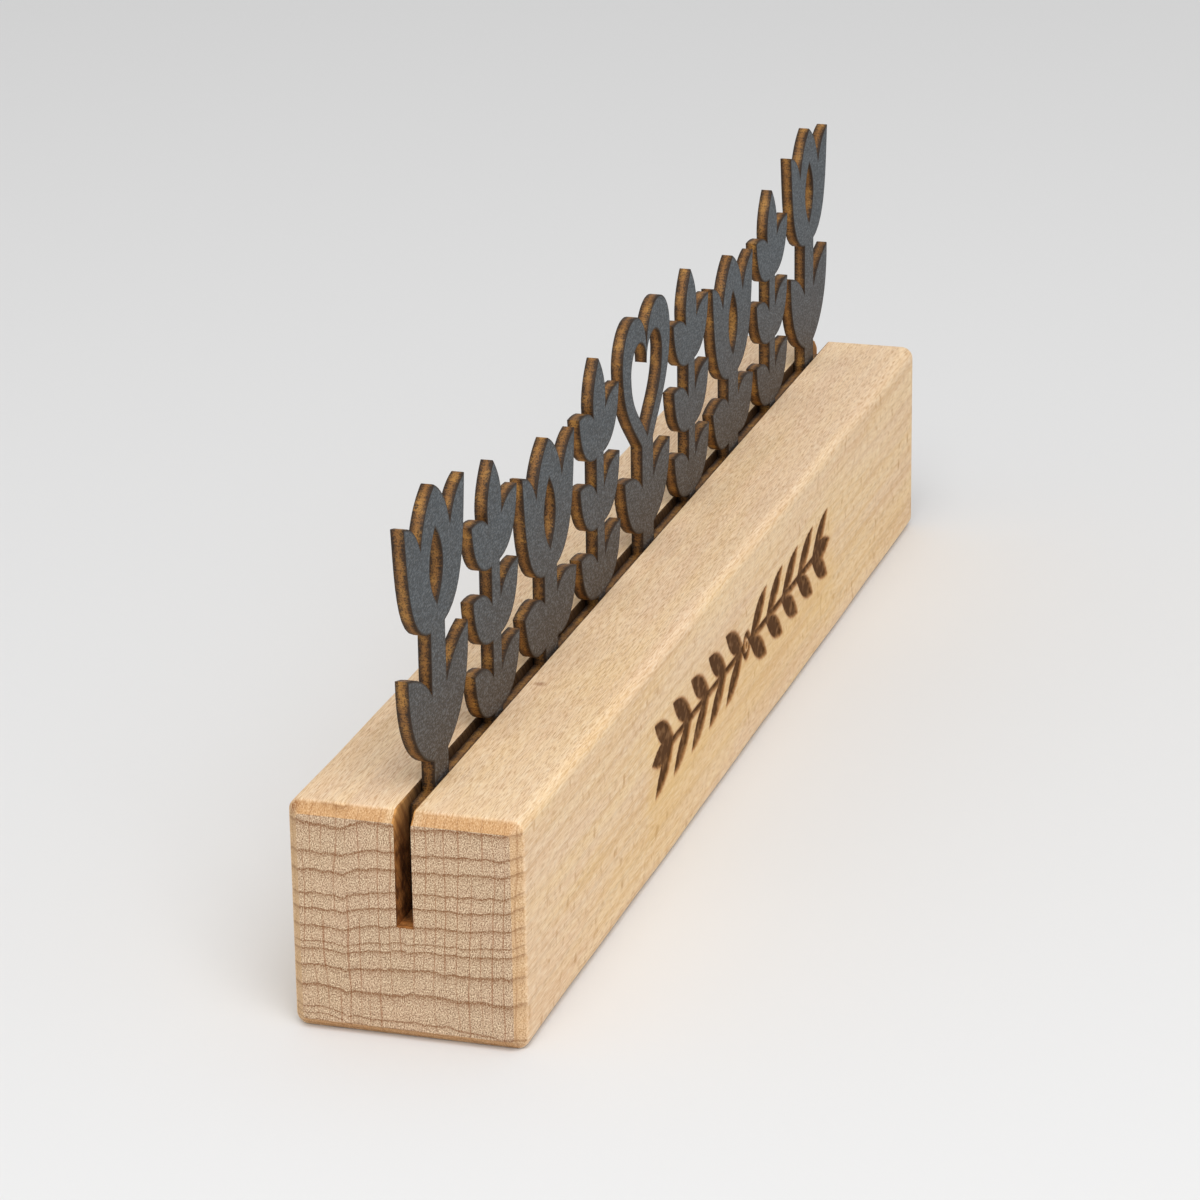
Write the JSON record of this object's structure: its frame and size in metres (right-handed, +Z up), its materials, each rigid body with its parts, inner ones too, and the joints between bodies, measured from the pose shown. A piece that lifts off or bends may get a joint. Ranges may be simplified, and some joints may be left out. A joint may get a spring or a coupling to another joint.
{
  "type": "table sign",
  "caption": "Table sign: a square beech block with a saw slot along its top holds a plug-in laser-cut fibreboard panel, a border of tulips, leafy sprigs and a heart.",
  "frame": {"origin": "middle of the block's underside, on the table", "axes": "+X along the block, left to right for a person who reads the sign; -Y out of the front face that person sees; +Z up"},
  "size_m": [0.3, 0.044, 0.099],
  "materials": {
    "beech": "sanded, untreated",
    "fibreboard": "matt grey lacquer on the faces, edges scorched brown by the laser"
  },
  "bodies": {
    "block": {"beech_block": "beech"},
    "panel": {"cutout_panel": "fibreboard"}
  },
  "joints": [
    {"name": "panel_lift", "type": "slide", "parent": "block", "child": "panel", "axis": [0, 0, 1], "range_m": [0, 0.03]}
  ]
}
